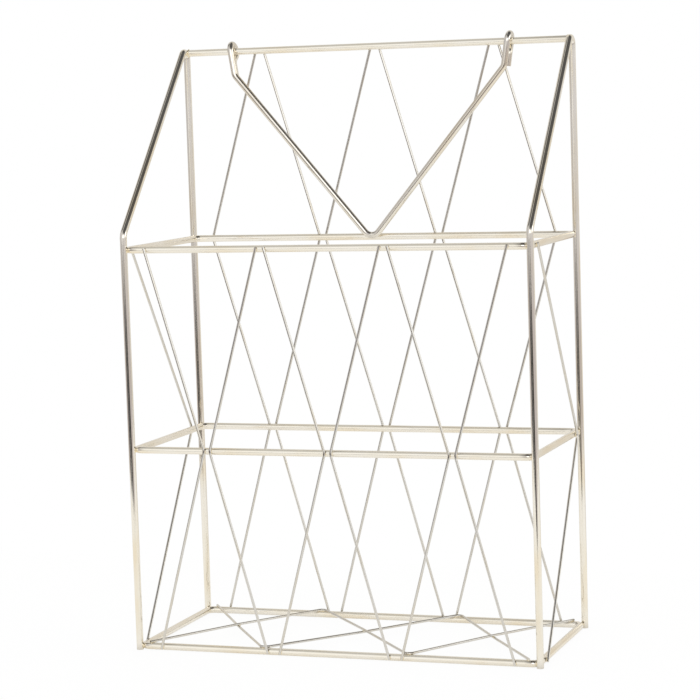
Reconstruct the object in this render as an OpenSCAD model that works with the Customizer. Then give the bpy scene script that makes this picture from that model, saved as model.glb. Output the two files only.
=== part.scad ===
// Wall magazine rack: a pocket of welded wire, with a wire hanger that swings on its top bar.
// Sizes are in millimetres. The low side of the pocket faces -Y, +Z is up, and the origin is
// the middle of the base, on the surface that the rack stands on.

/* [Wire] */
// Diameter of the wire of the side frames, the rings and the top bar
frame_wire = 4; // [3:0.1:5]
// Diameter of the zigzag wire that fills the faces
infill_wire = 1.5; // [1:0.1:2.2]
// Diameter of the hanger's wire
hanger_wire = 3.8; // [3:0.1:4.4]

/* [Side frames] */
// Distance between the left and the right posts, middle to middle
post_span = 240; // [200:1:340]
// Distance between the front and the rear posts, middle to middle
post_depth = 104; // [80:1:160]
// Height of the shoulder, where a front post turns back, above the upper ring
shoulder_rise = 9; // [6:0.5:25]
// Bend radius of the shoulder
shoulder_bend = 6; // [4:0.5:12]
// Bend radius of the crown, where the slope turns down into the rear post
crown_bend = 4; // [3.5:0.5:8]
// Height of the crown's wire above the top bar
crown_rise = 0.5; // [0:0.1:1]

/* [Rings and top bar] */
// Height of the middle ring
middle_level = 117; // [90:1:150]
// Height of the upper ring
upper_level = 232.5; // [200:0.5:270]
// Height of the top bar
bar_level = 345; // [300:1:400]
// Bend radius of the corners of a ring
ring_bend = 4; // [3:0.5:8]
// How far the ends of the top bar are fitted round the side frames
bar_cope = 1.2; // [0.3:0.1:1.5]

/* [Zigzag infill] */
// Bend radius of a zigzag on the front, the back and the sides
zigzag_bend = 6; // [3:0.5:12]
// Distance from the start of a ring's corner to the outermost strip of infill
strip_margin = 5; // [2:0.5:12]
// Gap between neighbouring zigzags at their upper ends
end_gap = 4.4; // [2.6:0.2:7]
// Gap between neighbouring zigzags at their bends
bend_gap = 3.4; // [2.6:0.2:7]
// Gap between neighbouring zigzags at the bottom ring
foot_gap = 7; // [2.6:0.2:10]
// Length of a zigzag's end past the middle of the wire that it is welded to
end_tail = 1; // [0.4:0.1:1.4]
// Distance from a post to the nearest point of a side's zigzag
side_gap = 12; // [6:0.5:25]
// Distance from the middle of the rack to the bends of the floor's zigzags
floor_bend_x = 43.5; // [30:0.5:55]
// Bend radius of the floor's zigzags
floor_bend = 3.5; // [2.5:0.5:7]
// Radius of the shallow bow where the floor's two zigzags cross
floor_bow = 200; // [80:10:400]

/* [Hanger] */
// Gap between an eye and the top bar
eye_clearance = 0.4; // [0.25:0.05:0.7]
// Distance along the top bar from the outermost zigzag to an eye
eye_offset = 10.8; // [9:0.1:16]
// Lean of an eye away from the middle of the rack, in degrees
eye_lean = 8.5; // [2:0.5:14]
// Distance from the top bar down to the bend between an eye and its arm
eye_drop = 14.5; // [14:0.5:20]
// Bend radius between an eye and its arm
arm_bend = 6; // [4:0.5:10]
// Height of the foot of the V above the middle of the upper ring, which it rests against
foot_rise = 1; // [-6:0.5:2]
// Bend radius at the foot of the V
vertex_bend = 5.5; // [4:0.5:12]
// How far an eye wraps on under the top bar before it runs to its arm, in degrees
eye_wrap = 50; // [40:1:55]
// Gap between the end of an eye and the arm that it lies behind
tail_gap = 0.4; // [0.3:0.05:0.5]
// How far the end of an eye lies outside its arm
tail_shift = 1; // [0:0.1:1.5]
// How far the hanger has slid along the top bar from the middle
hanger_slide = -3; // [-3.5:0.5:3.5]

/* [Welds] */
// How far two welded wires sink into each other
weld_depth = 0.2; // [0.05:0.05:0.3]

/* [Hidden] */
STRIPS = 6;
$fn = 48;
left = -1;
right = 1;
front = -1;
rear = 1;
pale_gold = "#DCCDB2";
bright_gold = "#E3D5BC";

// A bend is this much thicker than its straight runs, which end this far inside it.
bend_swell = 0.02;
bend_lap = 0.2;
// Room between a welded wire and the seat that is pressed into the other one.
seat_gap = 0.02;

frame_r = frame_wire / 2;
infill_r = infill_wire / 2;
post_x = post_span / 2;
post_y = post_depth / 2;
base_level = frame_r;

// Each ring's corner lies against the inside of a post, on the diagonal.
corner_reach = (ring_bend + frame_wire - weld_depth) * cos(45);
ring_x = post_x + ring_bend - corner_reach;
ring_y = post_y + ring_bend - corner_reach;
ring_straight_x = ring_x - ring_bend;
bar_y = ring_y;
bar_x = post_x - frame_r + bar_cope;

// The slope runs from the shoulder to touch the crown's bend.
shoulder_z = upper_level + shoulder_rise;
crown_y = post_y - crown_bend;
crown_z = bar_level + crown_rise - crown_bend;
slope_reach = [crown_y + post_y, crown_z - shoulder_z];
slope_angle = atan2(slope_reach[1], slope_reach[0]) + asin(crown_bend / norm(slope_reach));
crown_tip_z = shoulder_z + post_depth * tan(slope_angle);

infill_stand = frame_r + infill_r - weld_depth;
infill_y = ring_y + infill_stand;
strip_pitch = (ring_straight_x - strip_margin) / (STRIPS / 2);
floor_level = base_level + infill_stand;
floor_end_x = ring_straight_x - end_tail;
floor_cross_rise = infill_r - weld_depth / 2;

eye_r = frame_r + eye_clearance + hanger_wire / 2;
eye_x = strip_pitch * (STRIPS / 2 - 1) + end_gap / 2 + eye_offset;
tail_y = hanger_wire + tail_gap - eye_r;
// Under the bar an eye leaves its round, runs to the back of its arm and turns down along it.
wrap_bend = eye_r * 0.95;
knee_run = (eye_r * cos(eye_wrap) - tail_y) / sin(eye_wrap);
knee_drop = eye_r * sin(eye_wrap) + knee_run * cos(eye_wrap);
knee_bend = min(hanger_wire, 0.9 * knee_run / tan(eye_wrap / 2));
hanger_drop = bar_level - upper_level - foot_rise;

// Vectors along a wire's route
function unit(v) = v / norm(v);
function at(points, i) = points[(i + len(points)) % len(points)];
function heading(points, i) = unit(at(points, i + 1) - at(points, i));
function turn_at(points, i) = acos(max(-1, min(1, heading(points, i - 1) * heading(points, i))));
function setback(points, bends, i) = at(bends, i) == 0 ? 0 : at(bends, i) * tan(turn_at(points, i) / 2);
// How far a corner drawn sharp stands out from the bend that rounds it
function bend_reach(points, i, bend) = bend / cos(turn_at(points, i) / 2) - bend;

// Places its children with their X and Y axes along two directions.
module aim(origin, x_axis, y_axis) {
    z_axis = cross(x_axis, y_axis);
    multmatrix([
        [x_axis[0], y_axis[0], z_axis[0], origin[0]],
        [x_axis[1], y_axis[1], z_axis[1], origin[1]],
        [x_axis[2], y_axis[2], z_axis[2], origin[2]],
        [0, 0, 0, 1]
    ])
        children();
}

// A straight run of wire between two points
module run(from, to, wire) {
    along = unit(to - from);
    side = unit(cross(along, abs(along[2]) < 0.5 ? [0, 0, 1] : [1, 0, 0]));
    aim(from, side, cross(along, side))
        cylinder(h = norm(to - from), d = wire);
}

// A wire that follows points, with a bend radius at each one; a radius of 0 is a cut end.
module bent_wire(points, bends, wire, closed = false) {
    last = len(points) - (closed ? 1 : 2);
    for (i = [0 : last]) {
        along = heading(points, i);
        start_lap = at(bends, i) == 0 ? 0 : bend_lap;
        stop_lap = at(bends, i + 1) == 0 ? 0 : bend_lap;
        run(
            at(points, i) + along * (setback(points, bends, i) - start_lap),
            at(points, i + 1) - along * (setback(points, bends, i + 1) - stop_lap),
            wire
        );
    }
    for (i = [closed ? 0 : 1 : last]) {
        before = heading(points, i - 1);
        inward = cross(unit(cross(before, heading(points, i))), before);
        aim(points[i] - before * setback(points, bends, i) + inward * bends[i], -inward, before)
            rotate_extrude(angle = turn_at(points, i))
                translate([bends[i], 0])
                    circle(d = wire + 2 * bend_swell);
    }
}

// One wire from the foot of a front post up, back along the slope and down to the rear foot
module side_wire(side, wire) {
    x = side * post_x;
    bent_wire(
        [[x, -post_y, 0], [x, -post_y, shoulder_z], [x, post_y, crown_tip_z], [x, post_y, 0]],
        [0, shoulder_bend, crown_bend, 0],
        wire
    );
}

module left_side_frame() {
    color(pale_gold)
        side_wire(left, frame_wire);
}

module right_side_frame() {
    color(pale_gold)
        side_wire(right, frame_wire);
}

// A closed ring at one level, seated against the four posts
module ring(level) {
    seat_wire = frame_wire + 2 * seat_gap;
    difference() {
        bent_wire(
            [
                [-ring_x, -ring_y, level],
                [ring_x, -ring_y, level],
                [ring_x, ring_y, level],
                [-ring_x, ring_y, level]
            ],
            [ring_bend, ring_bend, ring_bend, ring_bend],
            frame_wire,
            closed = true
        );
        for (x = [-post_x, post_x], y = [-post_y, post_y])
            run([x, y, level - frame_wire], [x, y, level + frame_wire], seat_wire);
    }
}

module bottom_ring() {
    color(pale_gold)
        ring(base_level);
}

module middle_ring() {
    color(pale_gold)
        ring(middle_level);
}

module upper_ring() {
    color(pale_gold)
        ring(upper_level);
}

// The bar between the two crowns, with its ends fitted round them
module top_bar() {
    color(pale_gold)
        difference() {
            run([-bar_x, bar_y, bar_level], [bar_x, bar_y, bar_level], frame_wire);
            for (side = [left, right])
                side_wire(side, frame_wire + 2 * seat_gap);
        }
}

// The long wires of the rings and the bar, as the seats that they press into the infill
module cross_seat(y, level) {
    run([-ring_x, y, level], [ring_x, y, level], frame_wire + 2 * seat_gap);
}

module side_seat(x, level) {
    run([x, -ring_y, level], [x, ring_y, level], frame_wire + 2 * seat_gap);
}

// A zigzag stays in its own strip. Strip edges alternate between those where zigzags bend or
// end at the upper and the bottom ring, and those where they do so at the middle ring and the bar.
function strip_side(k) = k % 2 == 1 ? left : right;
function strip_middle(k) = (k - (STRIPS + 1) / 2) * strip_pitch;
function ring_edge(k, gap) = strip_middle(k) + strip_side(k) * (strip_pitch - gap) / 2;
function bar_edge(k, gap) = strip_middle(k) - strip_side(k) * (strip_pitch - gap) / 2;

module front_zigzag(k) {
    color(bright_gold)
        difference() {
            bent_wire(
                [
                    [ring_edge(k, end_gap), -infill_y, upper_level + end_tail],
                    [bar_edge(k, bend_gap), -infill_y, middle_level],
                    [ring_edge(k, foot_gap), -infill_y, base_level - end_tail]
                ],
                [0, zigzag_bend, 0],
                infill_wire
            );
            for (level = [base_level, middle_level, upper_level])
                cross_seat(-ring_y, level);
        }
}

module rear_zigzag(k) {
    color(bright_gold)
        difference() {
            bent_wire(
                [
                    [bar_edge(k, end_gap), infill_y, bar_level + end_tail],
                    [ring_edge(k, bend_gap), infill_y, upper_level],
                    [bar_edge(k, bend_gap), infill_y, middle_level],
                    [ring_edge(k, foot_gap), infill_y, base_level - end_tail]
                ],
                [0, zigzag_bend, zigzag_bend, 0],
                infill_wire
            );
            for (level = [base_level, middle_level, upper_level, bar_level])
                cross_seat(ring_y, level);
        }
}

module side_zigzag(side) {
    x = side * (ring_x + infill_stand);
    difference() {
        bent_wire(
            [
                [x, side_gap - post_y, upper_level + end_tail],
                [x, post_y - side_gap, middle_level],
                [x, side_gap - post_y, base_level - end_tail]
            ],
            [0, zigzag_bend, 0],
            infill_wire
        );
        for (level = [base_level, middle_level, upper_level])
            side_seat(side * ring_x, level);
    }
}

module left_side_zigzag() {
    color(bright_gold)
        side_zigzag(left);
}

module right_side_zigzag() {
    color(bright_gold)
        side_zigzag(right);
}

// The floor's zigzags in plan: from one corner to the far long wire, back, and to the far corner
function floor_plan(side, reach) = [
    [-floor_end_x, -side * (ring_y + end_tail), floor_level],
    [-floor_bend_x, side * (ring_y + reach), floor_level],
    [floor_bend_x, -side * (ring_y + reach), floor_level],
    [floor_end_x, side * (ring_y + end_tail), floor_level]
];
floor_reach = bend_reach(floor_plan(rear, 0), 1, floor_bend);
function floor_crossing(plan, i, side) = (plan[i] + plan[i + 1]) / 2 + [0, 0, side * floor_cross_rise];

module floor_wire(side, wire) {
    plan = floor_plan(side, floor_reach);
    bent_wire(
        [
            plan[0],
            floor_crossing(plan, 0, side),
            plan[1],
            floor_crossing(plan, 1, side),
            plan[2],
            floor_crossing(plan, 2, side),
            plan[3]
        ],
        [0, floor_bow, floor_bend, floor_bow, floor_bend, floor_bow, 0],
        wire
    );
}

// This one bows up where the two cross.
module floor_zigzag_a() {
    color(bright_gold)
        difference() {
            floor_wire(rear, infill_wire);
            for (y = [-ring_y, ring_y])
                cross_seat(y, base_level);
        }
}

// This one bows down, and is seated on the other where they cross.
module floor_zigzag_b() {
    color(bright_gold)
        difference() {
            floor_wire(front, infill_wire);
            for (y = [-ring_y, ring_y])
                cross_seat(y, base_level);
            floor_wire(rear, infill_wire + 2 * seat_gap);
        }
}

// A point of the hanger, from its middle on the axis of the top bar
function on_hanger(x, y, z) = [hanger_slide + x, bar_y + y, bar_level + z];
// A point of an eye: forwards or back from the bar, up or down along the eye's own lean, and outwards
function on_eye(side, y, s, out = 0) =
    on_hanger(side * (eye_x + out + s * sin(eye_lean)), y, s * cos(eye_lean));
function eye_points(side) = [
    on_eye(side, tail_y, -eye_drop, tail_shift),
    on_eye(side, tail_y, -knee_drop, tail_shift),
    on_eye(side, eye_r, -eye_r * tan(eye_wrap / 2)),
    on_eye(side, eye_r, eye_r),
    on_eye(side, -eye_r, eye_r),
    on_eye(side, -eye_r, -eye_drop)
];
eye_bends = [0, knee_bend, wrap_bend, eye_r, eye_r, arm_bend];
v_sharp = [on_eye(left, -eye_r, -eye_drop), on_hanger(0, -eye_r, -hanger_drop), on_eye(right, -eye_r, -eye_drop)];
v_foot = on_hanger(0, -eye_r, -hanger_drop - bend_reach(v_sharp, 1, vertex_bend));

function backwards(list) = [for (i = [len(list) - 1 : -1 : 0]) list[i]];

// A V with a closed eye round the bar at each end. The eyes turn freely on the bar.
module hanger() {
    color(pale_gold)
        bent_wire(
            concat(eye_points(left), [v_foot], backwards(eye_points(right))),
            concat(eye_bends, [vertex_bend], backwards(eye_bends)),
            hanger_wire
        );
}

left_side_frame();
right_side_frame();
bottom_ring();
middle_ring();
upper_ring();
top_bar();
hanger();
for (k = [1 : STRIPS]) {
    front_zigzag(k);
    rear_zigzag(k);
}
left_side_zigzag();
right_side_zigzag();
floor_zigzag_a();
floor_zigzag_b();
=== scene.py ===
"""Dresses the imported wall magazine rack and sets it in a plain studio.

Each wire is drawn again by Geometry Nodes along the route of its CAD node, which it stands for,
so that the plating and the drawing lines follow the wire round its bends.
"""

import math

import bpy
from mathutils import Euler, Matrix, Vector


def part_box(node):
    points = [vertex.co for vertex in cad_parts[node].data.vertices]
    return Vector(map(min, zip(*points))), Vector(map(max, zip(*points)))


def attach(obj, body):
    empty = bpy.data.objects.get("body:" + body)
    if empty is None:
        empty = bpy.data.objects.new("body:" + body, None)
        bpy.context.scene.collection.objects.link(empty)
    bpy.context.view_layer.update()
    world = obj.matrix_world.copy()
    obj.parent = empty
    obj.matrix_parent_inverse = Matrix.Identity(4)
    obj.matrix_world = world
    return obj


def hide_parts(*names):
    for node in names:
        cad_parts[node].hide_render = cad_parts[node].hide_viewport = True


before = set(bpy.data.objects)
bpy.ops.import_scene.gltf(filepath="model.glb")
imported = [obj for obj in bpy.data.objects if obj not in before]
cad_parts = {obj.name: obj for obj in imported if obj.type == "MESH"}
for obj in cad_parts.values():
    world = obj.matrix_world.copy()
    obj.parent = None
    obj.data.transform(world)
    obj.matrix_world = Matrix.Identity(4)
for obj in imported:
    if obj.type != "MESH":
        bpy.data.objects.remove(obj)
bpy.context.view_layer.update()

bl_info = {
    "name": "Wire magazine rack",
    "version": (1, 0, 0),
    "blender": (4, 5, 0),
    "location": "View3D > Sidebar > Rack",
    "description": "Bends and welds the wires of a wall magazine rack and sets up its studio",
    "category": "Object",
}

MM = 0.001
RACK, HANGER = "rack", "hanger"
LEFT, RIGHT = -1, 1
FRONT, REAR = -1, 1
# Strips of infill on the front and on the back, one zigzag in each
STRIPS = 6
# A piece may lie this far from the box of the CAD node that it stands for.
NODE_TOLERANCE = 0.15 * MM
# Heights as close as this are the same level.
SAME_LEVEL = 0.001 * MM
# Girth of a wire at the rim of a cut end, as a share of its full girth
RIM_GIRTH = 0.86
# Half sizes of the welds, in millimetres: along the wire, across it and outwards
INFILL_WELD = (1.25, 1.05, 0.5)
CROSSING_WELD = (0.95, 0.95, 0.45)
POST_WELD = (1.75, 1.5, 0.8)
BAR_WELD = (2.45, 2.45, 0.9)
WELD_SEED = 7.0


def linear(hex_colour):
    """The linear colour, with alpha, of an sRGB hex value."""
    channels = (int(hex_colour[i : i + 2], 16) / 255 for i in (1, 3, 5))
    curve = [c / 12.92 if c <= 0.04045 else ((c + 0.055) / 1.055) ** 2.4 for c in channels]
    return (*curve, 1.0)


def add_node(tree, kind, inputs=None, **settings):
    """Adds a node with its settings. An input gets a value, a socket or a node's first output."""
    node = tree.nodes.new(kind)
    for name, value in settings.items():
        setattr(node, name, value)
    for key, value in (inputs or {}).items():
        if isinstance(value, bpy.types.Node):
            value = next(socket for socket in value.outputs if socket.enabled)
        if isinstance(value, bpy.types.NodeSocket):
            tree.links.new(value, node.inputs[key])
        else:
            node.inputs[key].default_value = value
    return node


def length(name, description, default):
    """A length property, in metres, from a default in millimetres."""
    return bpy.props.FloatProperty(
        name=name, description=description, default=default * MM, precision=5, unit="LENGTH"
    )


def colour(name, description, default):
    """A colour property from an sRGB hex value."""
    return bpy.props.FloatVectorProperty(
        name=name,
        description=description,
        default=linear(default),
        size=4,
        min=0,
        max=1,
        subtype="COLOR",
    )


def angle(name, description, default):
    """An angle property, in radians, from a default in degrees."""
    return bpy.props.FloatProperty(
        name=name, description=description, default=math.radians(default), subtype="ANGLE"
    )


def count(name, description, default, least):
    """A whole number property with a least value."""
    return bpy.props.IntProperty(name=name, description=description, default=default, min=least)


class RackWires(bpy.types.PropertyGroup):
    """Sizes of the wires and their routes, the same as in the CAD model."""

    frame_wire: length("Frame wire", "Diameter of the side frames, the rings and the top bar", 4)
    infill_wire: length("Infill wire", "Diameter of the zigzags", 1.5)
    hanger_wire: length("Hanger wire", "Diameter of the hanger", 3.8)
    post_span: length("Post span", "Distance between the left and the right posts", 240)
    post_depth: length("Post depth", "Distance between the front and the rear posts", 104)
    middle_level: length("Middle level", "Height of the middle ring", 117)
    upper_level: length("Upper level", "Height of the upper ring", 232.5)
    bar_level: length("Bar level", "Height of the top bar", 345)
    shoulder_rise: length("Shoulder rise", "Height of a shoulder above the upper ring", 9)
    shoulder_bend: length("Shoulder bend", "Bend radius of a shoulder", 6)
    crown_bend: length("Crown bend", "Bend radius of a crown", 4)
    crown_rise: length("Crown rise", "Height of a crown's wire above the top bar", 0.5)
    ring_bend: length("Ring bend", "Bend radius of a ring's corners", 4)
    bar_cope: length("Bar cope", "How far the ends of the top bar reach into the crowns", 1.2)
    zigzag_bend: length("Zigzag bend", "Bend radius of the zigzags on the walls", 6)
    strip_margin: length("Strip margin", "Distance from a ring's corner to the outermost zigzag", 5)
    end_gap: length("End gap", "Gap between zigzags at their upper ends", 4.4)
    bend_gap: length("Bend gap", "Gap between zigzags at their bends", 3.4)
    foot_gap: length("Foot gap", "Gap between zigzags at the bottom ring", 7)
    end_tail: length("End tail", "Length of a zigzag's end past the wire that it is welded to", 1)
    side_gap: length("Side gap", "Distance from a post to a side's zigzag", 12)
    floor_bend_x: length("Floor bend", "Distance from the middle to the floor zigzags' bends", 43.5)
    floor_bend: length("Floor bend radius", "Bend radius of the floor's zigzags", 3.5)
    floor_bow: length("Floor bow", "Radius of the bow where the floor's zigzags cross", 200)
    eye_clearance: length("Eye clearance", "Gap between an eye and the top bar", 0.4)
    eye_offset: length("Eye offset", "Distance from the outermost zigzag to an eye", 10.8)
    eye_lean: angle("Eye lean", "Lean of an eye away from the middle", 8.5)
    eye_drop: length("Eye drop", "Distance from the bar to the bend between an eye and its arm", 14.5)
    arm_bend: length("Arm bend", "Bend radius between an eye and its arm", 6)
    foot_rise: length("Foot rise", "Height of the foot of the V above the upper ring", 1)
    vertex_bend: length("Vertex bend", "Bend radius at the foot of the V", 5.5)
    eye_wrap: angle("Eye wrap", "How far an eye wraps on under the bar before it runs to its arm", 50)
    tail_gap: length("Tail gap", "Gap between the end of an eye and its arm", 0.4)
    tail_shift: length("Tail shift", "How far the end of an eye lies outside its arm", 1)
    hanger_slide: length("Hanger slide", "How far the hanger has slid along the bar", -3)
    weld_depth: length("Weld depth", "How far welded wires sink into each other", 0.2)
    cut_chamfer: length("Cut chamfer", "Width of the rounded rim of a cut end", 0.3)
    straight_step: length("Straight step", "Distance between the cross-sections of a straight run", 4)
    bend_steps: count("Bend steps", "Cross-sections in a bend", 14, 3)
    frame_sides: count("Frame sides", "Sides of the round frame and hanger wires", 28, 6)
    infill_sides: count("Infill sides", "Sides of the round infill wires", 16, 6)


class RackFinish(bpy.types.PropertyGroup):
    """Colours of the plating and the studio, and the sizes of the marks and patches on them."""

    plate: colour("Plate", "The pale gold of the plating", "#FAF4E6")
    plate_warm: colour("Warm plate", "Plating where the gold lies thicker", "#F7EBD3")
    plate_pale: colour("Pale plate", "Plating where the bright nickel shows through", "#FDF9F1")
    weld_plate: colour("Weld plate", "Plating on the satin skin of a weld", "#FDEDC4")
    # A plain grey that the gold is mixed towards, by a share for each kind of wire; it darkens the
    # infill most.
    grey_plate: colour("Thin plate", "Grey nickel, which shows more on thin wire", "#B9BABB")
    rub_steel: colour("Rubbed metal", "Where use has rubbed the gold thin", "#D9D3C8")
    pit: colour("Pit", "Dull pin-prick in the plating", "#A08F76")
    weld_reach: length("Weld reach", "How far from a weld the plating is duller", 7)
    rub_reach: length("Rub reach", "How far a rubbed spot spreads", 5)
    pit_gap: length("Pit gap", "Distance between the pits in the plating", 2.2)
    lump_size: length("Lump size", "Width of the lumps on a weld", 1.1)
    lump_height: length("Lump height", "Height of the lumps on a weld", 0.35)
    skin_size: length("Skin size", "Width of the fine lumps of a weld's skin", 0.35)
    paper: colour("Paper", "The table's white paper", "#F8F8F7")
    paper_pale: colour("Pale paper", "Paler patches of the paper", "#FBFBFA")
    paper_patch: length("Paper patch", "Width of the patches of the paper", 60)
    table_glow: colour("Table glow", "The lit table, as the wires mirror it", "#EAE8E5")
    backdrop: colour("Backdrop", "The white that the camera sees behind the rack", "#FFFFFF")
    strip_light: colour("Strip light", "The strip of light and the glow to its right", "#FFFFFF")
    overhead: colour("Overhead", "The dimmer light above the rack", "#C4C3C0")
    left_wall: colour("Left wall", "The wall to the left of the strip of light", "#C4C2C5")
    right_wall: colour("Right wall", "The wall to the right of the strip of light", "#D4D2D5")
    sweep: colour("Sweep", "The white paper that rises behind the rack", "#E0DCD6")
    ceiling: colour("Ceiling", "The dark studio ceiling", "#545354")
    shade: colour("Shade", "The dark room in front, below the table's edge", "#242222")
    dim: colour("Dim", "The half-dark room further down and to the sides", "#BDB6B7")


def sizes():
    return bpy.context.scene.rack_wires


def finish():
    return bpy.context.scene.rack_finish


# Places that several routes share, worked out from the sizes


def frame_radius():
    return sizes().frame_wire / 2


def infill_radius():
    return sizes().infill_wire / 2


def base_level():
    return frame_radius()


def levels():
    """Heights of the three rings."""
    return base_level(), sizes().middle_level, sizes().upper_level


def ring_inset():
    """How far a ring's long and short wires lie inside the posts that its corners rest against."""
    s = sizes()
    reach = (s.ring_bend + s.frame_wire - s.weld_depth) * math.cos(math.radians(45))
    return reach - s.ring_bend


def ring_x():
    return sizes().post_span / 2 - ring_inset()


def ring_y():
    return sizes().post_depth / 2 - ring_inset()


def infill_stand():
    """Distance between the middles of a frame wire and a zigzag welded to it."""
    return frame_radius() + infill_radius() - sizes().weld_depth


def strip_pitch():
    s = sizes()
    return (ring_x() - s.ring_bend - s.strip_margin) / (STRIPS / 2)


def strip_side(k):
    return LEFT if k % 2 else RIGHT


def strip_middle(k):
    return (k - (STRIPS + 1) / 2) * strip_pitch()


def ring_edge(k, gap):
    """Where zigzag k meets the edge of its strip at the upper and the bottom ring."""
    return strip_middle(k) + strip_side(k) * (strip_pitch() - gap) / 2


def bar_edge(k, gap):
    """Where zigzag k meets the other edge of its strip, at the middle ring and the bar."""
    return strip_middle(k) - strip_side(k) * (strip_pitch() - gap) / 2


def eye_radius():
    s = sizes()
    return frame_radius() + s.eye_clearance + s.hanger_wire / 2


# Routes: the corners of each wire, and its bend radius at each corner


def side_frame_route(side):
    s = sizes()
    x, y = side * s.post_span / 2, s.post_depth / 2
    shoulder = s.upper_level + s.shoulder_rise
    rise = s.bar_level + s.crown_rise - s.crown_bend - shoulder
    run = s.post_depth - s.crown_bend
    slope = math.atan2(rise, run) + math.asin(s.crown_bend / math.hypot(run, rise))
    tip = shoulder + s.post_depth * math.tan(slope)
    corners = [(x, -y, 0), (x, -y, shoulder), (x, y, tip), (x, y, 0)]
    return corners, [0, s.shoulder_bend, s.crown_bend, 0]


def ring_route(level):
    x, y = ring_x(), ring_y()
    corners = [(-x, -y, level), (x, -y, level), (x, y, level), (-x, y, level)]
    return corners, [sizes().ring_bend] * len(corners)


def top_bar_route():
    # The ends of the bar lie inside the metal of the crowns.
    x = sizes().post_span / 2 - frame_radius() + sizes().bar_cope
    return [(side * x, ring_y(), sizes().bar_level) for side in (LEFT, RIGHT)], [0, 0]


def front_zigzag_route(k):
    s = sizes()
    y = -ring_y() - infill_stand()
    corners = [
        (ring_edge(k, s.end_gap), y, s.upper_level + s.end_tail),
        (bar_edge(k, s.bend_gap), y, s.middle_level),
        (ring_edge(k, s.foot_gap), y, base_level() - s.end_tail),
    ]
    return corners, [0, s.zigzag_bend, 0]


def rear_zigzag_route(k):
    s = sizes()
    y = ring_y() + infill_stand()
    corners = [
        (bar_edge(k, s.end_gap), y, s.bar_level + s.end_tail),
        (ring_edge(k, s.bend_gap), y, s.upper_level),
        (bar_edge(k, s.bend_gap), y, s.middle_level),
        (ring_edge(k, s.foot_gap), y, base_level() - s.end_tail),
    ]
    return corners, [0, s.zigzag_bend, s.zigzag_bend, 0]


def side_zigzag_route(side):
    s = sizes()
    x, y = side * (ring_x() + infill_stand()), s.post_depth / 2 - s.side_gap
    corners = [
        (x, -y, s.upper_level + s.end_tail),
        (x, y, s.middle_level),
        (x, -y, base_level() - s.end_tail),
    ]
    return corners, [0, s.zigzag_bend, 0]


def corner_reach(before, corner, after, bend):
    """How far a sharp corner stands out from the bend that rounds it."""
    turn = (corner - before).angle(after - corner)
    return bend / math.cos(turn / 2) - bend


def floor_plan(side, reach):
    s = sizes()
    z, end_x = base_level() + infill_stand(), ring_x() - s.ring_bend - s.end_tail
    return [
        Vector((-end_x, -side * (ring_y() + s.end_tail), z)),
        Vector((-s.floor_bend_x, side * (ring_y() + reach), z)),
        Vector((s.floor_bend_x, -side * (ring_y() + reach), z)),
        Vector((end_x, side * (ring_y() + s.end_tail), z)),
    ]


def floor_crossings(plan):
    return [(plan[i] + plan[i + 1]) / 2 for i in range(len(plan) - 1)]


def floor_zigzag_route(side):
    """One of the two floor wires; the one of the rear side bows up where they cross."""
    s = sizes()
    sharp = floor_plan(side, 0)
    plan = floor_plan(side, corner_reach(*sharp[:3], s.floor_bend))
    bow = Vector((0, 0, side * (infill_radius() - s.weld_depth / 2)))
    crossings = [c + bow for c in floor_crossings(plan)]
    corners = [plan[0], crossings[0], plan[1], crossings[1], plan[2], crossings[2], plan[3]]
    return corners, [0, s.floor_bow, s.floor_bend, s.floor_bow, s.floor_bend, s.floor_bow, 0]


def hanger_point(x, y, z):
    """A point of the hanger, from its middle on the axis of the top bar."""
    s = sizes()
    return Vector((s.hanger_slide + x, ring_y() + y, s.bar_level + z))


def knee_run():
    """How far an eye runs straight, from where it leaves its round to the back of its arm."""
    s, r = sizes(), eye_radius()
    tail_y = s.hanger_wire + s.tail_gap - r
    return (r * math.cos(s.eye_wrap) - tail_y) / math.sin(s.eye_wrap)


def eye_corners(side):
    """The corners of an eye, from its cut end round the bar to its arm."""
    s, r = sizes(), eye_radius()
    eye_x = strip_pitch() * (STRIPS / 2 - 1) + s.end_gap / 2 + s.eye_offset
    tail_y = s.hanger_wire + s.tail_gap - r
    knee_drop = r * math.sin(s.eye_wrap) + knee_run() * math.cos(s.eye_wrap)
    outline = [
        (s.tail_shift, tail_y, -s.eye_drop),
        (s.tail_shift, tail_y, -knee_drop),
        (0, r, -r * math.tan(s.eye_wrap / 2)),
        (0, r, r),
        (0, -r, r),
        (0, -r, -s.eye_drop),
    ]
    lean_x, lean_z = math.sin(s.eye_lean), math.cos(s.eye_lean)
    return [hanger_point(side * (eye_x + out + up * lean_x), y, up * lean_z) for out, y, up in outline]


def hanger_route():
    s, r = sizes(), eye_radius()
    left, right = eye_corners(LEFT), eye_corners(RIGHT)
    drop = s.bar_level - s.upper_level - s.foot_rise
    sharp = hanger_point(0, -r, -drop)
    foot = hanger_point(0, -r, -drop - corner_reach(left[-1], sharp, right[-1], s.vertex_bend))
    # Two bends make the round top of an eye. Bends that meet stop a little short of each other.
    top, under = 0.998 * r, 0.95 * r
    knee = min(s.hanger_wire, 0.9 * knee_run() / math.tan(s.eye_wrap / 2))
    bends = [0, knee, under, top, top, s.arm_bend]
    return left + [foot] + right[::-1], bends + [s.vertex_bend] + bends[::-1]


# Welds: where two wires meet, which way they face each other, and how far the weld spreads


def crossings_at(corners, level):
    """Where the straight legs between corners pass a level, and the leg's direction there."""
    for before, after in zip(corners, corners[1:]):
        low, high = before.z - level, after.z - level
        if low * high < 0:
            yield before.lerp(after, low / (low - high)), (after - before).normalized()


def weld(place, facing, along, spread):
    """One weld: its middle, the way it faces, the way it runs and its three half sizes."""
    z = Vector(facing).normalized()
    x = (Vector(along) - z * Vector(along).dot(z)).normalized()
    turn = Matrix((x, z.cross(x), z)).transposed().to_euler()
    return Vector(place), turn, Vector(spread) * MM


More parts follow.
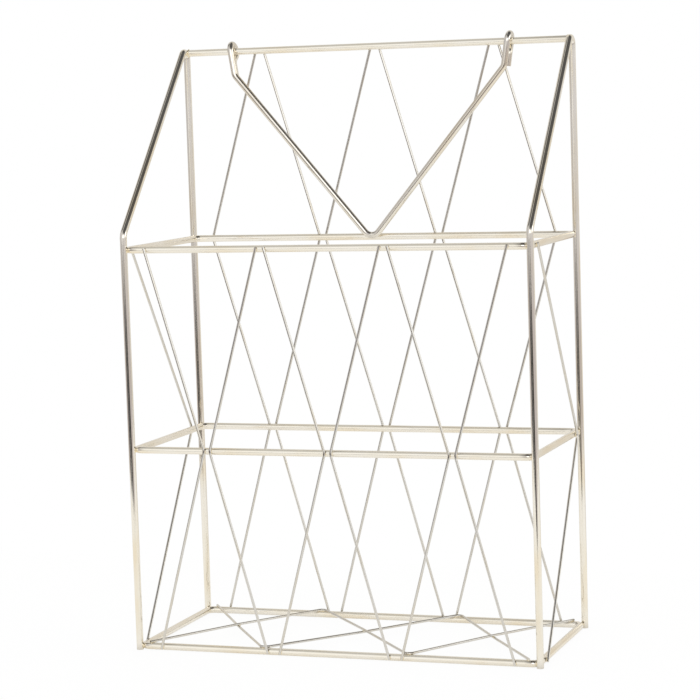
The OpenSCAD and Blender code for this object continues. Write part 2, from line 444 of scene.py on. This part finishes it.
def wall_welds(corners, bends, rows, facing):
    """Welds of a zigzag to the level wires that it crosses or bends on."""
    corners = [Vector(c) for c in corners]
    sunk = Vector(facing) * (infill_radius() - sizes().weld_depth / 2)
    for level in rows:
        turns = [i for i, bend in enumerate(bends) if bend and abs(corners[i].z - level) < SAME_LEVEL]
        for i in turns:
            # The bend is rounded, so the wire passes a little inside its corner.
            before, corner, after = corners[i - 1 : i + 2]
            inward = ((before - corner).normalized() + (after - corner).normalized()).normalized()
            middle = corner + inward * corner_reach(before, corner, after, bends[i])
            yield weld(middle - sunk, facing, (0, 0, 1), INFILL_WELD)
        if not turns:
            for place, along in crossings_at(corners, level):
                yield weld(place - sunk, facing, along, INFILL_WELD)


def ring_welds():
    """Welds of the rings' corners to the insides of the posts."""
    s = sizes()
    for level in levels():
        for side in (LEFT, RIGHT):
            for face in (FRONT, REAR):
                post = Vector((side * s.post_span / 2, face * s.post_depth / 2, level))
                inward = Vector((-side, -face, 0)).normalized()
                place = post + inward * (frame_radius() - s.weld_depth / 2)
                yield weld(place, inward, (0, 0, 1), POST_WELD)


def bar_welds():
    """Welds of the ends of the top bar to the sides of the crowns."""
    s = sizes()
    for side in (LEFT, RIGHT):
        place = (side * (s.post_span / 2 - frame_radius()), ring_y(), s.bar_level)
        yield weld(place, (side, 0, 0), (0, 0, 1), BAR_WELD)


def floor_welds():
    """Welds of the floor's zigzags to the bottom ring, and to each other where they cross."""
    s = sizes()
    top = base_level() + frame_radius() - s.weld_depth / 2
    for side in (FRONT, REAR):
        plan = floor_plan(side, 0)
        for corner, beside in ((plan[0], plan[1]), (plan[3], plan[2])):
            along = (beside - corner).normalized()
            place = corner + along * (s.end_tail / abs(along.y))
            yield weld((place.x, place.y, top), (0, 0, 1), along, INFILL_WELD)
        for corner in plan[1:3]:
            yield weld((corner.x, corner.y, top), (0, 0, 1), (1, 0, 0), INFILL_WELD)
    for place in floor_crossings(floor_plan(FRONT, 0)):
        yield weld(place, (0, 0, 1), (0, 1, 0), CROSSING_WELD)


def all_welds():
    found = [*ring_welds(), *bar_welds(), *floor_welds()]
    for k in range(1, STRIPS + 1):
        found += wall_welds(*front_zigzag_route(k), levels(), (0, FRONT, 0))
        found += wall_welds(*rear_zigzag_route(k), (*levels(), sizes().bar_level), (0, REAR, 0))
    for side in (LEFT, RIGHT):
        found += wall_welds(*side_zigzag_route(side), levels(), (side, 0, 0))
    return found


def rub_points():
    """Where use rubs the plating: on top of the eyes, at the foot of the V and on the feet."""
    s, r = sizes(), eye_radius()
    eyes = [(eye_corners(side)[3] + eye_corners(side)[4]) / 2 for side in (LEFT, RIGHT)]
    foot = hanger_point(0, -r, s.upper_level + s.foot_rise - s.bar_level)
    feet = [
        Vector((side * s.post_span / 2, face * s.post_depth / 2, 0))
        for side in (LEFT, RIGHT)
        for face in (FRONT, REAR)
    ]
    return [*eyes, foot, *feet]


# Materials


# For each kind of wire, under the name of its slot and its diameter: its material, the width of its
# drawing lines, and the share of a plain grey mixed into its gold, which makes it darker
PLATING = {
    "frame_wire": ("Gold plate on drawn frame wire", 0.35 * MM, 0.0),
    "infill_wire": ("Gold plate on drawn infill wire", 0.2 * MM, 0.45),
    "hanger_wire": ("Gold plate on drawn hanger wire", 0.35 * MM, 0.1),
}
# Drawing lines are this many times as long as they are wide.
LINE_STRETCH = 90


def new_material(name):
    """A material with an empty tree."""
    material = bpy.data.materials.new(name)
    material.use_nodes = True
    material.node_tree.nodes.clear()
    return material, material.node_tree


def coats(tree, base, layers):
    """A base colour with other colours laid over it, each by its own share."""
    for share, tint in layers:
        base = add_node(tree, "ShaderNodeMix", {"Factor": share, "A": base, "B": tint}, data_type="RGBA")
    return base


def plated_wire(name, wire, line, nickel):
    """Bright pale-gold plate on drawn steel wire.

    Metal that mirrors the room, with soft lines along the wire from the drawing die, clouds where
    the gold lies thicker or thinner, pin-prick pits, a duller skin by the welds and rubbed spots.
    Each kind of wire has its own share of a plain grey mixed into the gold, which makes it darker and
    greyer.
    """
    f = finish()
    material, tree = new_material(name)
    drawn = add_node(tree, "ShaderNodeAttribute", attribute_name="drawn").outputs["Vector"]
    heat = add_node(tree, "ShaderNodeAttribute", attribute_name="heat").outputs["Fac"]
    rub = add_node(tree, "ShaderNodeAttribute", attribute_name="rub").outputs["Fac"]

    # Clouds of thicker and thinner gold, two wire diameters wide and ten long
    cloud_scale = (1 / (2 * wire), 1 / (2 * wire), 1 / (10 * wire))
    cloud_place = add_node(tree, "ShaderNodeMapping", {"Vector": drawn, "Scale": cloud_scale})
    cloud = add_node(
        tree,
        "ShaderNodeTexNoise",
        {"Vector": cloud_place, "Scale": 1.0, "Detail": 3.0, "Roughness": 0.55},
    )
    gold = add_node(tree, "ShaderNodeValToRGB", {"Fac": cloud})
    stops = gold.color_ramp.elements
    stops[0].position, stops[1].position = 0.3, 0.72
    stops.new(0.5)
    # Each stop of the gold is pulled towards the plain grey by the wire's share.
    for stop, tint in zip(stops, (f.plate_warm, f.plate, f.plate_pale)):
        stop.color = Vector(tint).lerp(Vector(f.grey_plate), nickel)

    # Drawing lines: real ones are hundredths of a millimetre wide, and these are drawn coarser to show.
    line_scale = (1 / line, 1 / line, 1 / (LINE_STRETCH * line))
    line_place = add_node(tree, "ShaderNodeMapping", {"Vector": drawn, "Scale": line_scale})
    lines = add_node(
        tree, "ShaderNodeTexNoise", {"Vector": line_place, "Scale": 1.0, "Detail": 2.0, "Roughness": 0.6}
    )

    # Pits about two tenths of a millimetre across, a few millimetres apart
    pits = add_node(
        tree, "ShaderNodeTexVoronoi", {"Vector": drawn, "Scale": 1 / f.pit_gap, "Randomness": 1.0}
    )
    pitted = add_node(
        tree,
        "ShaderNodeMapRange",
        {"Value": pits, "From Min": 0.03, "From Max": 0.06, "To Min": 0.4, "To Max": 0.0},
    )
    plate = coats(tree, gold, [(heat, f.weld_plate), (rub, f.rub_steel), (pitted, f.pit)])

    # Polished between the drawing lines, and duller on them, by the welds and in the pits
    rough = add_node(
        tree,
        "ShaderNodeMapRange",
        {"Value": lines, "From Min": 0.3, "From Max": 0.7, "To Min": 0.07, "To Max": 0.13},
    )
    for mark, gain in ((heat, 0.14), (pitted, 0.25)):
        rough = add_node(tree, "ShaderNodeMath", {0: mark, 1: gain, 2: rough}, operation="MULTIPLY_ADD")
    relief = add_node(tree, "ShaderNodeMath", {0: pitted, 1: -0.8, 2: lines}, operation="MULTIPLY_ADD")
    bump = add_node(tree, "ShaderNodeBump", {"Height": relief, "Strength": 0.1, "Distance": 0.02 * MM})
    metal = add_node(
        tree,
        "ShaderNodeBsdfPrincipled",
        {"Base Color": plate, "Metallic": 1.0, "Roughness": rough, "Normal": bump},
    )
    add_node(tree, "ShaderNodeOutputMaterial", {"Surface": metal})
    return material


def wire_plate(slot):
    """The plating of a kind of wire, made on first use."""
    name, line, nickel = PLATING[slot]
    return bpy.data.materials.get(name) or plated_wire(name, getattr(sizes(), slot), line, nickel)


def plated_weld():
    """Resistance weld under the same plate.

    The melted skin is lumpy and satin, so it glows pale where the wires beside it mirror the room.
    """
    f = finish()
    material, tree = new_material("Gold plate on resistance weld")
    place = add_node(tree, "ShaderNodeTexCoord").outputs["Object"]
    lumps = add_node(
        tree,
        "ShaderNodeTexNoise",
        {"Vector": place, "Scale": 1 / f.skin_size, "Detail": 2.0, "Roughness": 0.6},
    )
    skin = add_node(tree, "ShaderNodeValToRGB", {"Fac": lumps})
    warm, pale = skin.color_ramp.elements
    warm.position, pale.position = 0.3, 0.65
    warm.color, pale.color = f.plate_warm, f.weld_plate
    rough = add_node(
        tree,
        "ShaderNodeMapRange",
        {"Value": lumps, "From Min": 0.3, "From Max": 0.7, "To Min": 0.26, "To Max": 0.4},
    )
    bump = add_node(tree, "ShaderNodeBump", {"Height": lumps, "Strength": 0.5, "Distance": 0.06 * MM})
    metal = add_node(
        tree,
        "ShaderNodeBsdfPrincipled",
        {"Base Color": skin, "Metallic": 1.0, "Roughness": rough, "Normal": bump},
    )
    add_node(tree, "ShaderNodeOutputMaterial", {"Surface": metal})
    return material


# Geometry Nodes


def new_tree(name, inputs):
    """A Geometry Nodes tree with named inputs, and the sockets of its group input."""
    tree = bpy.data.node_groups.new(name, "GeometryNodeTree")
    tree.interface.new_socket("Geometry", in_out="INPUT", socket_type="NodeSocketGeometry")
    for label, kind in inputs:
        tree.interface.new_socket(label, in_out="INPUT", socket_type=kind)
    tree.interface.new_socket("Geometry", in_out="OUTPUT", socket_type="NodeSocketGeometry")
    return tree, add_node(tree, "NodeGroupInput").outputs


def nearness(tree, marks, reach):
    """A field that is 1 at the nearest point of an object and 0 at the reach from it."""
    found = add_node(tree, "GeometryNodeObjectInfo", {"Object": marks}, transform_space="RELATIVE")
    gap = add_node(
        tree, "GeometryNodeProximity", {"Geometry": found.outputs["Geometry"]}, target_element="POINTS"
    )
    return add_node(
        tree,
        "ShaderNodeMapRange",
        {"Value": gap.outputs["Distance"], "From Max": reach, "To Min": 1.0, "To Max": 0.0},
        interpolation_type="SMOOTHSTEP",
    )


def bent_wire_tree():
    """Rounds a line's corners by its bend radii and draws a round wire along it."""
    tree, given = new_tree(
        "Bent wire",
        [
            ("Diameter", "NodeSocketFloat"),
            ("Sides", "NodeSocketInt"),
            ("Bend Steps", "NodeSocketInt"),
            ("Straight Step", "NodeSocketFloat"),
            ("Weld Marks", "NodeSocketObject"),
            ("Weld Reach", "NodeSocketFloat"),
            ("Rub Marks", "NodeSocketObject"),
            ("Rub Reach", "NodeSocketFloat"),
            ("Material", "NodeSocketMaterial"),
        ],
    )
    line = add_node(tree, "GeometryNodeMeshToCurve", {"Mesh": given["Geometry"]})
    bend = add_node(tree, "GeometryNodeInputNamedAttribute", {"Name": "bend"}, data_type="FLOAT")
    rounded = add_node(
        tree,
        "GeometryNodeFilletCurve",
        {"Curve": line, "Count": given["Bend Steps"], "Radius": bend},
        mode="POLY",
    )

    # Long straight runs get cross-sections too, for the marks on the plating.
    following = add_node(tree, "GeometryNodeOffsetPointInCurve", {"Offset": 1})
    place = add_node(tree, "GeometryNodeInputPosition")
    next_place = add_node(
        tree,
        "GeometryNodeFieldAtIndex",
        {"Value": place, "Index": following.outputs["Point Index"]},
        data_type="FLOAT_VECTOR",
        domain="POINT",
    )
    gap = add_node(tree, "ShaderNodeVectorMath", {0: place, 1: next_place}, operation="DISTANCE")
    cuts = add_node(tree, "ShaderNodeMath", {0: gap, 1: given["Straight Step"]}, operation="DIVIDE")
    route = add_node(tree, "GeometryNodeSubdivideCurve", {"Curve": rounded, "Cuts": cuts})
    girth = add_node(tree, "GeometryNodeInputNamedAttribute", {"Name": "girth"}, data_type="FLOAT")
    sized = add_node(tree, "GeometryNodeSetCurveRadius", {"Curve": route, "Radius": girth})
    along = add_node(tree, "GeometryNodeSplineParameter")
    measured = add_node(
        tree,
        "GeometryNodeStoreNamedAttribute",
        {"Geometry": sized, "Name": "along", "Value": along.outputs["Length"]},
        data_type="FLOAT",
        domain="POINT",
    )

    radius = add_node(tree, "ShaderNodeMath", {0: given["Diameter"], 1: 0.5}, operation="MULTIPLY")
    circle = add_node(
        tree, "GeometryNodeCurvePrimitiveCircle", {"Resolution": given["Sides"], "Radius": radius}
    )
    profile = add_node(
        tree,
        "GeometryNodeStoreNamedAttribute",
        {"Geometry": circle, "Name": "round", "Value": place},
        data_type="FLOAT_VECTOR",
        domain="POINT",
    )
    drawn = add_node(
        tree, "GeometryNodeCurveToMesh", {"Curve": measured, "Profile Curve": profile, "Fill Caps": True}
    )

    # The wire as it was before it was bent: across its section, and along its length
    across = add_node(
        tree, "GeometryNodeInputNamedAttribute", {"Name": "round"}, data_type="FLOAT_VECTOR"
    )
    down = add_node(tree, "GeometryNodeInputNamedAttribute", {"Name": "along"}, data_type="FLOAT")
    lengthwise = add_node(tree, "ShaderNodeCombineXYZ", {"Z": down})
    unbent = add_node(tree, "ShaderNodeVectorMath", {0: across, 1: lengthwise}, operation="ADD")

    # Marks that the plating reads
    marks = {
        "drawn": ("FLOAT_VECTOR", unbent),
        "heat": ("FLOAT", nearness(tree, given["Weld Marks"], given["Weld Reach"])),
        "rub": ("FLOAT", nearness(tree, given["Rub Marks"], given["Rub Reach"])),
    }
    wire = drawn
    for name, (kind, value) in marks.items():
        wire = add_node(
            tree,
            "GeometryNodeStoreNamedAttribute",
            {"Geometry": wire, "Name": name, "Value": value},
            data_type=kind,
            domain="POINT",
        )
    # Marks that only this tree has used
    for spare in ("along", "round", "bend", "girth"):
        wire = add_node(tree, "GeometryNodeRemoveAttribute", {"Geometry": wire, "Name": spare})

    # The cut ends are the only faces with more than four corners, and stay flat.
    corners = add_node(tree, "GeometryNodeInputMeshFaceNeighbors")
    walls = add_node(
        tree,
        "FunctionNodeCompare",
        {"A": corners.outputs["Vertex Count"], "B": 4},
        data_type="INT",
        operation="LESS_EQUAL",
    )
    smooth = add_node(tree, "GeometryNodeSetShadeSmooth", {"Geometry": wire, "Shade Smooth": walls})
    real = add_node(tree, "GeometryNodeRealizeInstances", {"Geometry": smooth})
    plated = add_node(tree, "GeometryNodeSetMaterial", {"Geometry": real, "Material": given["Material"]})
    add_node(tree, "NodeGroupOutput", {"Geometry": plated})
    return tree


def weld_tree():
    """Sets a small lumpy nugget on each point, turned and stretched as the point says."""
    tree, given = new_tree(
        "Weld nuggets",
        [
            ("Lump Size", "NodeSocketFloat"),
            ("Lump Height", "NodeSocketFloat"),
            ("Seed", "NodeSocketFloat"),
            ("Material", "NodeSocketMaterial"),
        ],
    )
    ball = add_node(tree, "GeometryNodeMeshIcoSphere", {"Radius": 1.0, "Subdivisions": 3})
    turn = add_node(tree, "GeometryNodeInputNamedAttribute", {"Name": "turn"}, data_type="FLOAT_VECTOR")
    spread = add_node(
        tree, "GeometryNodeInputNamedAttribute", {"Name": "spread"}, data_type="FLOAT_VECTOR"
    )
    rotation = add_node(tree, "FunctionNodeEulerToRotation", {"Euler": turn})
    placed = add_node(
        tree,
        "GeometryNodeInstanceOnPoints",
        {"Points": given["Geometry"], "Instance": ball, "Rotation": rotation, "Scale": spread},
    )
    # The nuggets are real before they get their lumps, so that no two are alike.
    real = add_node(tree, "GeometryNodeRealizeInstances", {"Geometry": placed})
    fineness = add_node(tree, "ShaderNodeMath", {0: 1.0, 1: given["Lump Size"]}, operation="DIVIDE")
    lumps = add_node(
        tree,
        "ShaderNodeTexNoise",
        {"W": given["Seed"], "Scale": fineness, "Detail": 1.0},
        noise_dimensions="4D",
    )
    centred = add_node(tree, "ShaderNodeMath", {0: lumps, 1: 0.5}, operation="SUBTRACT")
    height = add_node(
        tree, "ShaderNodeMath", {0: centred, 1: given["Lump Height"]}, operation="MULTIPLY"
    )
    normal = add_node(tree, "GeometryNodeInputNormal")
    push = add_node(tree, "ShaderNodeVectorMath", {0: normal, "Scale": height}, operation="SCALE")
    lumpy = add_node(tree, "GeometryNodeSetPosition", {"Geometry": real, "Offset": push})
    smooth = add_node(tree, "GeometryNodeSetShadeSmooth", {"Geometry": lumpy, "Shade Smooth": True})
    plated = add_node(
        tree, "GeometryNodeSetMaterial", {"Geometry": smooth, "Material": given["Material"]}
    )
    add_node(tree, "NodeGroupOutput", {"Geometry": plated})
    return tree


def new_object(name, data):
    made = bpy.data.objects.new(name, data)
    bpy.context.scene.collection.objects.link(made)
    return made


def grow(made, tree, values):
    """Runs a tree on an object, with its inputs set, and keeps the result as a plain mesh."""
    modifier = made.modifiers.new(tree.name, "NODES")
    modifier.node_group = tree
    for socket in tree.interface.items_tree:
        if socket.in_out == "INPUT" and socket.name in values:
            modifier[socket.identifier] = values[socket.name]
    graph = bpy.context.evaluated_depsgraph_get()
    mesh = bpy.data.meshes.new_from_object(made.evaluated_get(graph))
    mesh.name = made.name
    made.modifiers.remove(modifier)
    made.data = mesh


def point_mesh(name, places, edges=()):
    mesh = bpy.data.meshes.new(name)
    mesh.from_pydata([tuple(p) for p in places], edges, [])
    return mesh


def route_mesh(name, corners, bends, closed):
    """A line through the corners of a route, with the bend radius and the girth on its points."""
    places, radii = [Vector(c) for c in corners], list(bends)
    girths = [1.0] * len(places)
    if not closed:
        rim = sizes().cut_chamfer
        first = places[0] + (places[1] - places[0]).normalized() * rim
        last = places[-1] + (places[-2] - places[-1]).normalized() * rim
        places = [places[0], first, *places[1:-1], last, places[-1]]
        radii = [0, 0, *radii[1:-1], 0, 0]
        girths = [RIM_GIRTH, *([1.0] * (len(places) - 2)), RIM_GIRTH]
    edges = [(i, i + 1) for i in range(len(places) - 1)]
    if closed:
        edges.append((len(places) - 1, 0))
    mesh = point_mesh(name, places, edges)
    mesh.attributes.new("bend", "FLOAT", "POINT").data.foreach_set("value", radii)
    mesh.attributes.new("girth", "FLOAT", "POINT").data.foreach_set("value", girths)
    return mesh


def check_place(made, node):
    """Stops the script if a piece doesn't lie where its CAD node does."""
    corners = [Vector(c) for c in made.bound_box]
    low = [min(c[i] for c in corners) for i in range(3)]
    high = [max(c[i] for c in corners) for i in range(3)]
    node_low, node_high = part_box(node)
    off = max(abs(a - b) for a, b in zip((*low, *high), (*node_low, *node_high)))
    if off > NODE_TOLERANCE:
        raise ValueError(f"{made.name} lies {off / MM:.2f} mm from its CAD node")


def draw_wire(node, route, slot, body=RACK, closed=False):
    """Draws a wire of a kind along its route, as a piece that stands for its CAD node."""
    s, f = sizes(), finish()
    made = new_object(f"wire_{node}", route_mesh(f"route_{node}", *route, closed))
    grow(
        made,
        bpy.data.node_groups.get("Bent wire") or bent_wire_tree(),
        {
            "Diameter": getattr(s, slot),
            "Sides": s.infill_sides if slot == "infill_wire" else s.frame_sides,
            "Bend Steps": s.bend_steps,
            "Straight Step": s.straight_step,
            "Weld Marks": bpy.data.objects["weld_marks"],
            "Weld Reach": f.weld_reach,
            "Rub Marks": bpy.data.objects["rub_marks"],
            "Rub Reach": f.rub_reach,
            "Material": wire_plate(slot),
        },
    )
    check_place(made, node)
    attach(made, body)
    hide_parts(node)


class RackOperator:
    """What the rack's operators share."""

    bl_options = {"REGISTER", "UNDO"}


class RACK_OT_marks(RackOperator, bpy.types.Operator):
    """Mark where the wires are welded and rubbed, for the plating to follow"""

    bl_idname = "rack.marks"
    bl_label = "Mark welds and rubs"

    def execute(self, context):
        new_object("weld_marks", point_mesh("weld_marks", [place for place, _, _ in all_welds()]))
        new_object("rub_marks", point_mesh("rub_marks", rub_points()))
        return {"FINISHED"}


class RACK_OT_side_frames(RackOperator, bpy.types.Operator):
    """Bend the two side frames, each from one wire"""

    bl_idname = "rack.side_frames"
    bl_label = "Bend side frames"

    def execute(self, context):
        for side, node in ((LEFT, "left_side_frame"), (RIGHT, "right_side_frame")):
            draw_wire(node, side_frame_route(side), "frame_wire")
        return {"FINISHED"}


class RACK_OT_rings(RackOperator, bpy.types.Operator):
    """Bend the three closed rings"""

    bl_idname = "rack.rings"
    bl_label = "Bend rings"

    def execute(self, context):
        for level, node in zip(levels(), ("bottom_ring", "middle_ring", "upper_ring")):
            draw_wire(node, ring_route(level), "frame_wire", closed=True)
        return {"FINISHED"}


class RACK_OT_top_bar(RackOperator, bpy.types.Operator):
    """Cut the straight bar that the hanger turns on"""

    bl_idname = "rack.top_bar"
    bl_label = "Cut top bar"

    def execute(self, context):
        draw_wire("top_bar", top_bar_route(), "frame_wire")
        return {"FINISHED"}


class RACK_OT_zigzags(RackOperator, bpy.types.Operator):
    """Bend the zigzags of the front, the back, the sides and the floor"""

    bl_idname = "rack.zigzags"
    bl_label = "Bend zigzags"

    def execute(self, context):
        routes = {f"front_zigzag_{k}": front_zigzag_route(k) for k in range(1, STRIPS + 1)}
        routes |= {f"rear_zigzag_{k}": rear_zigzag_route(k) for k in range(1, STRIPS + 1)}
        routes["left_side_zigzag"] = side_zigzag_route(LEFT)
        routes["right_side_zigzag"] = side_zigzag_route(RIGHT)
        routes["floor_zigzag_a"] = floor_zigzag_route(REAR)
        routes["floor_zigzag_b"] = floor_zigzag_route(FRONT)
        for node, route in routes.items():
            draw_wire(node, route, "infill_wire")
        return {"FINISHED"}


class RACK_OT_hanger(RackOperator, bpy.types.Operator):
    """Bend the V-shaped hanger with its two eyes round the bar"""

    bl_idname = "rack.hanger"
    bl_label = "Bend hanger"

    def execute(self, context):
        draw_wire("hanger", hanger_route(), "hanger_wire", HANGER)
        return {"FINISHED"}


class RACK_OT_welds(RackOperator, bpy.types.Operator):
    """Set a weld nugget wherever two wires of the rack are joined"""

    bl_idname = "rack.welds"
    bl_label = "Weld wires"

    def execute(self, context):
        f, welds = finish(), all_welds()
        mesh = point_mesh("weld_nuggets", [place for place, _, _ in welds])
        turns = [part for _, turn, _ in welds for part in turn]
        spreads = [half for _, _, spread in welds for half in spread]
        mesh.attributes.new("turn", "FLOAT_VECTOR", "POINT").data.foreach_set("vector", turns)
        mesh.attributes.new("spread", "FLOAT_VECTOR", "POINT").data.foreach_set("vector", spreads)
        made = new_object("weld_nuggets", mesh)
        grow(
            made,
            bpy.data.node_groups.get("Weld nuggets") or weld_tree(),
            {
                "Lump Size": f.lump_size,
                "Lump Height": f.lump_height,
                "Seed": WELD_SEED,
                "Material": plated_weld(),
            },
        )
        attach(made, RACK)
        for marks in ("weld_marks", "rub_marks"):
            bpy.data.objects.remove(bpy.data.objects[marks])
        return {"FINISHED"}


# Studio


# Corners of the table top, in metres. The wires mirror its edges and the darker room beyond them.
TABLE_CORNERS = [
    (-0.8, -0.2),
    (-0.45, -0.56),
    (0.04, -0.58),
    (0.16, -0.4),
    (0.6, -0.4),
    (0.9, -0.2),
    (0.9, 0.22),
    (-0.8, 0.22),
]
# How much of the table is plain white to the camera, and plain glow to the wires that mirror it
SEEN_SHARE, MIRRORED_SHARE = 0.92, 0.55
# The glow to the right of the strip of light rises by this much of its way to the right.
GLOW_RISE = 0.3
# Soft lights: place and width in metres, and power in watts
SOFT_BOXES = {
    "front_soft_box": ((0.5, -1.9, 0.9), 0.9, 3.0),
    "right_soft_box": ((1.6, 0.3, 0.8), 0.8, 1.5),
}
# The camera, where the lines of the photograph put it: metres, degrees and millimetres
CAMERA_PLACE = (0.45967, -1.32642, 0.31603)
CAMERA_TURN = (84.06, 1.826, 19.041)
CAMERA_LENS, CAMERA_SENSOR = 125.41, 36.0
CAMERA_REACH = (0.05, 50.0)


def studio_floor():
    """Matt white paper that the camera sees as white, with the rack's soft shadow on it."""
    f = finish()
    material, tree = new_material("Matt white paper on a table top")
    place = add_node(tree, "ShaderNodeTexCoord").outputs["Object"]
    patches = add_node(
        tree, "ShaderNodeTexNoise", {"Vector": place, "Scale": 1 / f.paper_patch, "Detail": 2.0}
    )
    tint = coats(tree, f.paper, [(patches, f.paper_pale)])
    paper = add_node(tree, "ShaderNodeBsdfDiffuse", {"Color": tint})
    path = add_node(tree, "ShaderNodeLightPath").outputs
    lit = coats(tree, f.backdrop, [(path["Is Glossy Ray"], f.table_glow)])
    white = add_node(tree, "ShaderNodeEmission", {"Color": lit, "Strength": 1.0})
    seen = add_node(
        tree, "ShaderNodeMath", {0: path["Is Camera Ray"], 1: SEEN_SHARE}, operation="MULTIPLY"
    )
    share = add_node(
        tree,
        "ShaderNodeMath",
        {0: path["Is Glossy Ray"], 1: MIRRORED_SHARE, 2: seen},
        operation="MULTIPLY_ADD",
    )
    mixed = add_node(tree, "ShaderNodeMixShader", {0: share, 1: paper, 2: white})
    add_node(tree, "ShaderNodeOutputMaterial", {"Surface": mixed})
    mesh = bpy.data.meshes.new("studio_floor")
    mesh.from_pydata([(x, y, 0) for x, y in TABLE_CORNERS], [], [range(len(TABLE_CORNERS))])
    mesh.materials.append(material)
    new_object("studio_floor", mesh)


def studio_room():
    """The room round the table: white as a light and to the camera, and light and dark to the wires."""
    f = finish()
    world = bpy.data.worlds.new("Studio room")
    world.use_nodes = True
    tree = world.node_tree
    tree.nodes.clear()
    direction = add_node(tree, "ShaderNodeTexCoord").outputs["Generated"]
    parts = add_node(tree, "ShaderNodeSeparateXYZ", {"Vector": direction}).outputs
    x, y, z = parts["X"], parts["Y"], parts["Z"]
    slanted = add_node(tree, "ShaderNodeMath", {0: x, 1: -GLOW_RISE, 2: z}, operation="MULTIPLY_ADD")

    # A panel has a colour, its share, and slopes: a part of the direction, where the panel starts
    # along it and where it is full.
    strip = [(x, -0.47, -0.42), (x, -0.2, -0.25)]
    below = [(z, -0.05, -0.095), (y, 0.5, 0.2)]
    panels = [
        (f.right_wall, 1.0, [(x, -0.44, -0.2)]),
        # A strip of light hangs in a bow over the table. The rings' long wires mirror only this strip.
        (f.strip_light, 1.0, strip),
        (f.strip_light, 1.0, [(z, 0.02, 0.08), (slanted, 0.25, 0.1), (x, -0.25, -0.1)]),
        (f.overhead, 1.0, [(z, 0.4, 0.95)]),
        (f.sweep, 1.0, [(y, 0.3, 0.7)]),
        # Just below the table's edge it is dark in front, and half dark lower down and at the sides.
        (f.dim, 1.0, below),
        (f.shade, 1.0, [*below, (x, -1.0, -0.7), (x, 0.55, 0.25), (z, -0.28, -0.2)]),
        # The foot of the strip shows there too, faintly at first.
        (f.strip_light, 0.15, [*below, *strip]),
        (f.strip_light, 0.88, [*below, *strip, (z, -0.13, -0.18)]),
        # The ceiling is dark to the right of the strip, and in a narrow gap to its left.
        (f.ceiling, 1.0, [(y, -0.95, -0.5), (y, 0.75, 0.4), (z, 0.3, 0.62), (x, -0.27, -0.2)]),
        (f.ceiling, 1.0, [(y, -0.25, -0.1), (y, 0.35, 0.15), (z, 0.4, 0.65), (x, -0.4, -0.46)]),
    ]
    layers = []
    for tint, share, slopes in panels:
        for part, start, full in slopes:
            slope = add_node(
                tree,
                "ShaderNodeMapRange",
                {"Value": part, "From Min": start, "From Max": full},
                interpolation_type="SMOOTHSTEP",
            )
            share = add_node(tree, "ShaderNodeMath", {0: share, 1: slope}, operation="MULTIPLY")
        layers.append((share, tint))
    room = coats(tree, f.left_wall, layers)

    path = add_node(tree, "ShaderNodeLightPath").outputs
    seen = coats(tree, f.backdrop, [(path["Is Glossy Ray"], room)])
    light = add_node(tree, "ShaderNodeBackground", {"Color": seen, "Strength": 1.0})
    add_node(tree, "ShaderNodeOutputWorld", {"Surface": light})
    bpy.context.scene.world = world


def soft_box(name, place, width, power):
    """A square soft light that points at the middle of the rack and stays out of the picture."""
    lamp = bpy.data.lights.new(name, "AREA")
    lamp.shape = "SQUARE"
    lamp.size = width
    lamp.energy = power
    made = new_object(name, lamp)
    middle = Vector((0, 0, sizes().bar_level / 2))
    made.location = place
    made.rotation_euler = (middle - Vector(place)).to_track_quat("-Z", "Y").to_euler()
    made.visible_camera = False


def studio_camera():
    data = bpy.data.cameras.new("camera")
    data.lens, data.sensor_width = CAMERA_LENS, CAMERA_SENSOR
    data.clip_start, data.clip_end = CAMERA_REACH
    camera = new_object("camera", data)
    turn = Euler([math.radians(part) for part in CAMERA_TURN])
    camera.matrix_world = Matrix.LocRotScale(Vector(CAMERA_PLACE), turn, None)
    bpy.context.scene.camera = camera


class RACK_OT_studio(RackOperator, bpy.types.Operator):
    """Set up the floor, the room, the lights and the camera"""

    bl_idname = "rack.studio"
    bl_label = "Set up studio"

    def execute(self, context):
        studio_floor()
        studio_room()
        for name, (place, width, power) in SOFT_BOXES.items():
            soft_box(name, place, width, power)
        studio_camera()
        context.scene.view_settings.view_transform = "Standard"
        return {"FINISHED"}


OPERATORS = (
    RACK_OT_marks,
    RACK_OT_side_frames,
    RACK_OT_rings,
    RACK_OT_top_bar,
    RACK_OT_zigzags,
    RACK_OT_hanger,
    RACK_OT_welds,
    RACK_OT_studio,
)


class RACK_PT_build(bpy.types.Panel):
    """The rack's steps, in order, and its sizes and colours"""

    bl_idname = "RACK_PT_build"
    bl_label = "Wire magazine rack"
    bl_space_type = "VIEW_3D"
    bl_region_type = "UI"
    bl_category = "Rack"

    def draw(self, context):
        steps = self.layout.column(align=True)
        for operator in OPERATORS:
            steps.operator(operator.bl_idname)
        for group in (context.scene.rack_wires, context.scene.rack_finish):
            fields = self.layout.column()
            for name in type(group).__annotations__:
                fields.prop(group, name)


CLASSES = (RackWires, RackFinish, *OPERATORS, RACK_PT_build)


def register():
    for cls in CLASSES:
        bpy.utils.register_class(cls)
    bpy.types.Scene.rack_wires = bpy.props.PointerProperty(type=RackWires)
    bpy.types.Scene.rack_finish = bpy.props.PointerProperty(type=RackFinish)


def unregister():
    del bpy.types.Scene.rack_finish
    del bpy.types.Scene.rack_wires
    for cls in reversed(CLASSES):
        bpy.utils.unregister_class(cls)


def main():
    register()
    bpy.ops.rack.marks()
    bpy.ops.rack.side_frames()
    bpy.ops.rack.rings()
    bpy.ops.rack.top_bar()
    bpy.ops.rack.zigzags()
    bpy.ops.rack.hanger()
    bpy.ops.rack.welds()
    bpy.ops.rack.studio()


if __name__ == "__main__":
    main()
